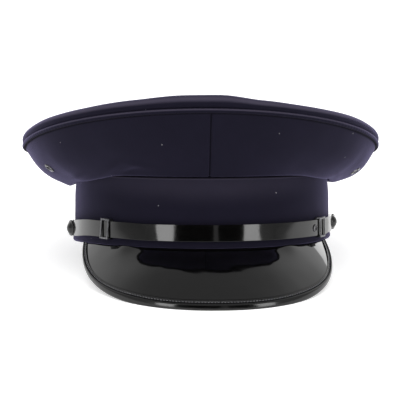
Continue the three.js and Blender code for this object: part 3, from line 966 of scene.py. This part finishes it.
# %% The binding
MARGIN = table(
    "out up",
    (-7.5, -0.5), (-7.52, 0.3), (-7.45, 0.72), (-7.2, 0.85), (-6.6, 0.85), (-6.0, 0.72),
    (-5.5, 0.55),
)
# The round as four arcs, each with its radius and the way that the leather faces at its ends.
CREST = Named(out=-3.45, up=1.4)
ARCS = table(
    "radius start end steps",
    (2.1, -62, 0, 6), (2.0, 0, 37, 5), (14.0, 37, 46, 4), (2.0, 46, 185, 12),
)
# The strip is drawn narrower toward the corners of the peak.
STRIP = table("share width", (0.35, 1.0), (0.7, 0.7))
HEM_UNDER = table("out up", (-5.2, -3.6), (-7.2, -3.0), (-7.5, -1.6))
STITCH_ROW = Named(out=-5.4, up=0.72)
HOLE = Named(depth=1.3, along=0.3, across=0.6)


def binding_section():
    """The closed section, as corners out past the edge and up off the face."""
    corners = []
    foot = radians(ARCS[0]["start"])
    out = CREST.out + ARCS[0]["radius"] * sin(foot)
    up = CREST.up + ARCS[0]["radius"] * (cos(foot) - 1)
    for arc in ARCS:
        turns = [radians(turn) for turn in evenly(arc["start"], arc["end"], arc["steps"])]
        for before, after in neighbours(turns):
            out += arc["radius"] * (sin(after) - sin(before))
            up += arc["radius"] * (cos(after) - cos(before))
            corners.append((out, up))
    margin, under = [[(row["out"], row["up"]) for row in rows] for rows in (MARGIN, HEM_UNDER)]
    return margin + corners + under + margin[:1]


def edge_lengths(shares):
    """Running length along the edge of the peak, from one end to the other."""
    lengths = [0.0]
    for before, after in neighbours([edge_frame(share)[0] for share in shares]):
        lengths.append(lengths[-1] + (after - before).length)
    return lengths


def look_up(keys, values, key):
    """The value at a key, straight between two rows."""
    i = min(max(bisect.bisect_right(keys, key), 1), len(keys) - 1)
    return blend(values[i - 1], values[i], (key - keys[i - 1]) / (keys[i] - keys[i - 1]))


HALF_EDGE = 140  # about half the length of the bound edge, in millimetres
STITCH = Named(pitch=2.2, length=1.25, radius=0.4, dip=0.3, bluntness=0.6)
run_shares = edge_shares(PEAK_ENDS.binding, steps=1500)
run_lengths = edge_lengths(run_shares)
section = binding_section()
print(f"length of the bound edge: {run_lengths[-1]:.0f} mm")


def strip_width(share):
    return ease(STRIP, "share", abs(share), "width")


def binding_point(share, index):
    out, up = section[index]
    along = look_up(run_shares, run_lengths, share) / STITCH.pitch
    to_hole = (along - round(along)) * STITCH.pitch
    if up > 0:
        pinch = hump(to_hole, HOLE.along) * hump(out - STITCH_ROW.out, HOLE.across)
        up -= HOLE.depth * pinch
    return off_edge(share, out * strip_width(share), up)


def binding_leather(share, index):
    return share * HALF_EDGE, index


def share_at(length):
    return look_up(run_lengths, run_shares, length)


binding_shares = [share_at(length) for length in evenly(0, run_lengths[-1], 900)]
corners = range(len(section))
binding = sheet_on_cap("peak_binding", binding_shares, corners, binding_point, binding_leather)
edit(binding, close_seams, cap_ends, face_out)
dress(binding, hem_patent, "patent_binding", "peak_binding", edge=80)

# %% [markdown]
# ### Its stitches
# One stitch is a short thread with rounded ends, pulled down at both. It is modelled once and
# copied along the furrow at the pitch of the real seam, then the copies are joined.

# %% Stitches along the binding
def one_stitch():
    ball = dict(segments=8, ring_count=6, radius=1)
    stitch = begin(bpy.ops.mesh.primitive_uv_sphere_add, "stitch", **ball)
    for vertex in stitch.data.vertices:
        x, y, z = vertex.co.z, vertex.co.x, vertex.co.y
        along = math.copysign(abs(x) ** STITCH.bluntness, x) * STITCH.length / 2
        vertex.co = (along, y * STITCH.radius, z * STITCH.radius - STITCH.dip * x * x)
    return stitch


def frame_at(share):
    """Where a stitch lies: X along the edge, Z up off the face."""
    point, out_way, up_way = edge_frame(share)
    along = up_way.cross(out_way).normalized()
    spot = point + out_way * STITCH_ROW.out * strip_width(share) + up_way * STITCH_ROW.up
    turned = Matrix((along, up_way.cross(along), up_way)).transposed().to_4x4()
    return Matrix.Translation(spot) @ turned


def sew(stitch, places, name):
    """Copies of a stitch at these places, in millimetres, joined into one piece."""
    copies = []
    for place in places:
        copy = stitch.copy()
        copy.data = stitch.data.copy()
        copy.data.transform(place)
        bpy.context.collection.objects.link(copy)
        copies.append(copy)
    deselect()
    for copy in copies:
        copy.select_set(True)
    bpy.context.view_layer.objects.active = copies[0]
    bpy.ops.object.join()
    row = bpy.context.active_object
    row.name = row.data.name = name
    for vertex in row.data.vertices:
        vertex.co = seated(vertex.co)
    return row


stitch = one_stitch()
stitch_count = int(run_lengths[-1] / STITCH.pitch) - 1
stitch_places = [frame_at(share_at((i + 0.5) * STITCH.pitch)) for i in range(1, stitch_count)]
stitches = sew(stitch, stitch_places, "peak_stitches")
dress(stitches, thread, "patent_binding", edge=80)
print("stitches:", len(stitch_places))

# %% [markdown]
# ## The chin strap
# The strap is two lengths of patent leather, one over the other, that slide through two metal
# loops. Each is a flat strip on the band with rounded edges. The grid is its outer face; Solidify
# gives its thickness and Bevel its rounded, polished edges.

# %% The two straps
STRAP = Named(width=11.0, wall=1.0, height=10.4, rounded=0.2)
OUTER_STRAP = table(
    "angle out drop",
    (-91, 2.4, 2.6), (-78, 1.7, 1.0), (-56, 2.9, -0.6), (-42, 2.9, -0.5), (-25, 2.9, 0.0),
    (66.5, 2.9, 0.0),
)
INNER_STRAP = table(
    "angle out drop",
    (-51, 1.6, -0.5), (-42, 1.6, -0.5), (-25, 1.6, 0.0), (72, 1.6, 0.0), (91, 2.0, 0.0),
)
STRAP_END = Named(length=5.5, narrowest=0.35)  # the rounded end
STRAP_WAVE = Named(size=15.0, height=0.16)


def strap(name, rows):
    start, end = rows[0]["angle"], rows[-1]["angle"]

    def place(angle, side):
        to_end = radians(min(angle - start, end - angle)) * BAND_RADIUS
        narrow = math.sqrt(max(0.0, 1 - max(0.0, 1 - to_end / STRAP_END.length) ** 2))
        half = STRAP.width / 2 * max(narrow, STRAP_END.narrowest)
        height = STRAP.height - ease(rows, "angle", angle, "drop") + side * half
        wave = noise.noise(on_band(angle, height) / STRAP_WAVE.size) * STRAP_WAVE.height
        out = ease(rows, "angle", angle, "out") + STRAP.wall / 2 + wave
        return on_band(angle, height, out)

    def leather(angle, side):
        return radians(angle) * BAND_RADIUS, side * STRAP.width / 2

    sides = [-1, -0.96, -0.88, -0.7, -0.35, 0, 0.35, 0.7, 0.88, 0.96, 1]
    columns = crowded(start, end, steps=200, amount=0.6)
    piece = sheet_on_cap(name, columns, sides, place, leather)
    wall(piece, STRAP.wall)
    round_edges(piece, STRAP.rounded * MM, 60)
    dress(piece, strap_patent, "patent_strap", name, edge=35)


strap("chin_strap_outer", OUTER_STRAP)
strap("chin_strap_inner", INNER_STRAP)

# %% [markdown]
# ### The slides
# A slide is a stamped loop that the straps run through, with a window in its face. It is made as
# it is stamped: a block, a slot cut through it for the straps, the window cut in its face, and
# every edge softened by the tumbling drum.

# %% The slides
SLIDE = Named(length=8.2, height=13.8, back=0.5, inside=2.9, front=0.9, lip=1.0, rounded=0.3)
SLIDE_WINDOW = Named(length=5.8, height=11.4)
# A slide leans in the plane of the strap, and tips its lower edge out where the strap stands off.
SLIDES = table(
    "name angle lean tip out", ("slide_right", -46.5, -2, 4, 0.1), ("slide_left", 57.4, 2, 0, 0.0)
)


def fitting_place(angle):
    """The frame of a fitting on the strap: X down, Y straight out of the band, Z along it."""
    height = STRAP.height - ease(OUTER_STRAP, "angle", angle, "drop")
    away = outward(angle)
    down = Vector((0, 0, -1))
    axes = Matrix((down, away, down.cross(away))).transposed().to_4x4()
    return Matrix.Translation(on_band(angle, height)) @ axes


def block(name, size, centre):
    piece = begin(bpy.ops.mesh.primitive_cube_add, name, size=1)
    piece.data.transform(Matrix.Translation(centre) @ Matrix.Diagonal((*size, 1)))
    return piece


def cut_block(piece, size, centre):
    """Cuts a block out of a piece."""
    tool = block("tool", size, centre)
    modifier(piece, "BOOLEAN", operation="DIFFERENCE", solver="EXACT", object=tool)
    bpy.data.objects.remove(tool)


def set_on_cap(piece, place):
    for vertex in piece.data.vertices:
        vertex.co = seated(place @ vertex.co)


def slide(name, angle, lean, tip, out):
    depth = SLIDE.back + SLIDE.inside + SLIDE.front
    piece = block(name, (SLIDE.height, depth, SLIDE.length), (0, GAP + depth / 2, 0))
    slot = (SLIDE.height - 2 * SLIDE.lip, SLIDE.inside, SLIDE.length * 2)
    cut_block(piece, slot, (0, GAP + SLIDE.back + SLIDE.inside / 2, 0))
    window = (SLIDE_WINDOW.height, SLIDE.front * 2, SLIDE_WINDOW.length)
    cut_block(piece, window, (0, GAP + depth, 0))
    round_edges(piece, SLIDE.rounded, 40)
    leaning = Matrix.Rotation(radians(lean), 4, "Y") @ Matrix.Rotation(radians(tip), 4, "Z")
    set_on_cap(piece, fitting_place(angle) @ Matrix.Translation((0, out, 0)) @ leaning)
    dress(piece, nickel, "slide_metal", name, edge=35)


for row in SLIDES:
    slide(**row)

# %% [markdown]
# ### Buttons, rivet and eyelets
# All three are turned shapes. A circle is extruded up ring by ring, and each ring is scaled to
# the next radius in the table, as clay is drawn up on a wheel.

# %% Turn a shape from rings
def rings(name, rows, sides, hollow):
    """A turned shape along +Z from a table of radii and heights; a hollow one closes on itself."""
    circle = dict(vertices=sides, radius=rows[0]["radius"])
    piece = begin(bpy.ops.mesh.primitive_circle_add, name, **circle)
    piece.data.transform(Matrix.Translation((0, 0, rows[0]["up"])))

    def draw_up():
        for before, after in neighbours(rows):
            rise = after["up"] - before["up"]
            scale = after["radius"] / before["radius"]
            bpy.ops.mesh.extrude_region_move(TRANSFORM_OT_translate=dict(value=(0, 0, rise)))
            bpy.ops.transform.resize(value=(scale, scale, 1), center_override=(0, 0, 0))

    def close():
        bpy.ops.mesh.select_all(action="SELECT")
        bpy.ops.mesh.remove_doubles(threshold=1e-3)
        if not hollow:
            cap_ends()
        face_out()

    edit(piece, draw_up, close)
    return piece


def trimming(name, rows, place, finish, slot, sides=32, edge=40, hollow=False):
    """Turns a trimming and sets it on the cap."""
    piece = rings(name, rows, sides, hollow)
    set_on_cap(piece, place)
    dress(piece, finish, slot, name, edge=edge)


UPRIGHT = Matrix(((1, 0, 0, 0), (0, 0, 1, 0), (0, -1, 0, 0), (0, 0, 0, 1)))  # +Z becomes +Y

# %% The buttons
BUTTONS = dict(button_right=dict(angle=-83, tilt=-14), button_left=dict(angle=85.5, tilt=20))
BUTTON_RINGS = table(
    "radius up",
    (1.4, 0.3), (1.4, 2.8), (5.2, 2.8), (5.6, 3.0), (5.75, 3.4), (5.65, 3.8), (5.3, 4.05),
    (4.9, 4.05), (4.6, 4.0), (4.3, 4.35), (3.7, 4.95), (2.9, 5.5), (2.0, 5.95), (1.0, 6.25),
    (0.3, 6.35),
)
for name, row in BUTTONS.items():
    place = fitting_place(row["angle"]) @ Matrix.Rotation(radians(row["tilt"]), 4, "X") @ UPRIGHT
    trimming(name, BUTTON_RINGS, place, button_plastic, "button_gloss", sides=48)

# %% The rivet
RIVET_ANGLE = 51.5
rivet_seat = OUTER_STRAP[-1]["out"] + STRAP.wall / 2
RIVET_RINGS = table(
    "radius up",
    (1.0, rivet_seat - STRAP.wall), (1.0, rivet_seat), (2.5, rivet_seat + 0.02),
    (2.62, rivet_seat + 0.2), (2.45, rivet_seat + 0.5), (2.1, rivet_seat + 0.6),
    (1.7, rivet_seat + 0.35), (0.9, rivet_seat + 0.12), (0.2, rivet_seat + 0.06),
)
rivet_place = fitting_place(RIVET_ANGLE) @ UPRIGHT
trimming("strap_rivet", RIVET_RINGS, rivet_place, black_steel, "slide_metal", edge=60)

# %% The vent eyelets
EYELETS = dict(eyelet_right=dict(angle=-74, share=0.5), eyelet_left=dict(angle=77.5, share=0.47))
EYELET_RINGS = table(
    "radius up",
    (1.9, -2.1), (2.4, -2.1), (2.45, 0.0), (3.7, -0.1), (3.9, 0.2), (3.7, 0.6), (3.2, 0.85),
    (2.6, 0.85), (2.1, 0.5), (1.9, -0.2), (1.9, -2.1),
)


def eyelet_place(angle, share):
    """On the cloth of its quarter, facing straight out of it."""
    around = quarter_point(angle + 0.5, share) - quarter_point(angle - 0.5, share)
    upward = quarter_point(angle, share + 0.01) - quarter_point(angle, share - 0.01)
    facing = around.cross(upward).normalized()
    turned = Vector((0, 0, 1)).rotation_difference(facing).to_matrix().to_4x4()
    return Matrix.Translation(quarter_point(angle, share)) @ turned


for name, row in EYELETS.items():
    trimming(name, EYELET_RINGS, eyelet_place(**row), black_steel, "eyelet_metal", hollow=True)

# %% [markdown]
# ## The stage
# A plain pale floor that runs far back, so that no edge of it shows, and the light of a white
# tent: white all round, two tall soft boxes in front, a wide panel behind, and between the boxes
# a dark opening that the camera looks through. The floor glows a little by itself, a painted glow
# that fills in the shadows beside the cap, and is painted darker in front, a painted shade.
# A mirror-black peak shows nothing but its surroundings, so the tent, the boxes and the opening
# are all that can be seen in it. The last lamp hangs overhead and lights the roll of the crown;
# it is kept out of every mirror.

# %% Floor
# Painted glow: the floor gives off light by itself, which fills in the shadows beside the cap.
PAINTED_GLOW = 0.5  # what the light table sends up by itself, against the tent's light
# In front of the cap the floor is painted darker and glows less, a painted shade, and sooner on
# both sides.
SHADE = Named(start=-0.85, end=-0.4, sideways=0.75)


def floor_with_painted_glow():
    material, tree, shader = finish_named("white_floor_painted_glow")
    place = node(tree, "TexCoord").outputs["Object"]
    parts = node(tree, "SeparateXYZ", Vector=place)
    aside = node(tree, "Math", dict(operation="ABSOLUTE"), _0=parts.outputs["X"])
    back = node(tree, "Math", TIMES_PLUS, _0=aside, _1=-SHADE.sideways, _2=parts.outputs["Y"])
    fade = node(tree, "MapRange", EASED, Value=back, From_Min=SHADE.start, From_Max=SHADE.end)
    colour = node(tree, "Mix", COLOURS, Factor=fade, A="#a2a2a2", B="#f4f4f4")
    glow = node(tree, "Math", TIMES, _0=fade, _1=PAINTED_GLOW)
    plug(
        tree, shader, Base_Color=colour, Roughness=0.9, Emission_Color=(1, 1, 1, 1),
        Emission_Strength=glow,
    )
    return material


floor = begin(bpy.ops.mesh.primitive_plane_add, "floor", size=24)
floor.data.materials.append(floor_with_painted_glow())

# %% Light
TENT = Named(front=0.52, back=1.35, start=-0.05, end=0.6)  # its glow, and where it changes
world = bpy.data.worlds.new("tent")
bpy.context.scene.world = world
world.use_nodes = True
tent = world.node_tree
way = node(tent, "TexCoord").outputs["Generated"]
parts = node(tent, "SeparateXYZ", Vector=way)
glow = node(
    tent, "MapRange", EASED, Value=parts.outputs["Y"], From_Min=TENT.start, From_Max=TENT.end,
    To_Min=TENT.front, To_Max=TENT.back,
)
plug(tent, tent.nodes["Background"], Color=(1, 1, 1, 1), Strength=glow)

CAMERA_AZIMUTH = -3.01
LOOK_AT = Vector((0, 0, 0.05))


def around_camera(turn, height, distance):
    """A place in front of the cap, turned from the camera's line toward its right."""
    spot = oval(distance, distance, CAMERA_AZIMUTH + turn)
    return Vector((spot.x, spot.y, height))


def stand(thing, front, turn, height, distance):
    """Stands a thing round the cap with its front to it, where the camera can't see it."""
    thing.location = around_camera(turn, height, distance)
    thing.rotation_euler = (LOOK_AT - thing.location).to_track_quat(front, "Y").to_euler()
    thing.visible_camera = False


# Lamps: where they stand, their size in metres and their radiance against the tent's.
LAMPS = table(
    "turn height distance width tall radiance mirrored",
    (-32.9, 0.45, 1.6, 0.427, 0.9, 5.6, True), (44.3, 0.45, 1.6, 0.447, 0.9, 5.2, True),
    (150, 0.39, 1.9, 0.82, 0.78, 2.1, True), (0, 2.0, 0.6, 1.4, 0.6, 4.5, False),
)


def soft_box(width, tall, radiance, mirrored, **place):
    data = bpy.data.lights.new("soft_box", "AREA")
    data.shape, data.size, data.size_y = "RECTANGLE", width, tall
    data.energy = radiance * width * tall * pi
    lamp = bpy.data.objects.new("soft_box", data)
    bpy.context.collection.objects.link(lamp)
    stand(lamp, "-Z", **place)
    lamp.visible_glossy = mirrored


for row in LAMPS:
    soft_box(**row)

# The dark opening, as two black cards.
CARDS = table(
    "turn height distance width tall", (-7.9, 0.35, 1.9, 1.19, 1.1), (25.2, 0.35, 1.9, 0.75, 1.1)
)


def black_card(width, tall, **place):
    card = begin(bpy.ops.mesh.primitive_plane_add, "black_card", size=1)
    card.scale = (width, tall, 1)
    stand(card, "Z", **place)
    card.data.materials.append(black_paper)


black_paper = plain("black_paper", "#050505", 1.0)
for row in CARDS:
    black_card(**row)

# %% [markdown]
# ## The camera
# The camera stands about a metre in front, a little to the wearer's right and a little above the
# cap. Its height is given against the level cap, so the tilt at rest is added to it. It looks at
# a point above the band's lower edge.

# %% Camera
CAMERA = Named(distance=1100.0, elevation=5.12, roll=0.52, view_angle=15.12)
AIM = Vector((-1.2, 0.0, 25.6))
turn, rise = radians(CAMERA_AZIMUTH), radians(CAMERA.elevation)
back = Vector((sin(turn) * cos(rise), -cos(turn) * cos(rise), sin(rise)))
spot = place_in_frame @ (back * CAMERA.distance * MM)
aim = place_in_frame @ (AIM * MM)
camera_data = bpy.data.cameras.new("camera")
camera_data.angle = radians(CAMERA.view_angle)
camera = bpy.data.objects.new("camera", camera_data)
bpy.context.collection.objects.link(camera)
looking = (aim - spot).to_track_quat("-Z", "Y").to_matrix().to_4x4()
rolled = Matrix.Rotation(radians(CAMERA.roll), 4, "Z")
camera.matrix_world = Matrix.Translation(spot) @ looking @ rolled
bpy.context.scene.camera = camera
bpy.context.scene.view_settings.view_transform = "Standard"
print("camera at", [round(v, 3) for v in spot], "looking at", [round(v, 3) for v in aim])

# %% Clear away the single stitch
bpy.data.objects.remove(stitch)
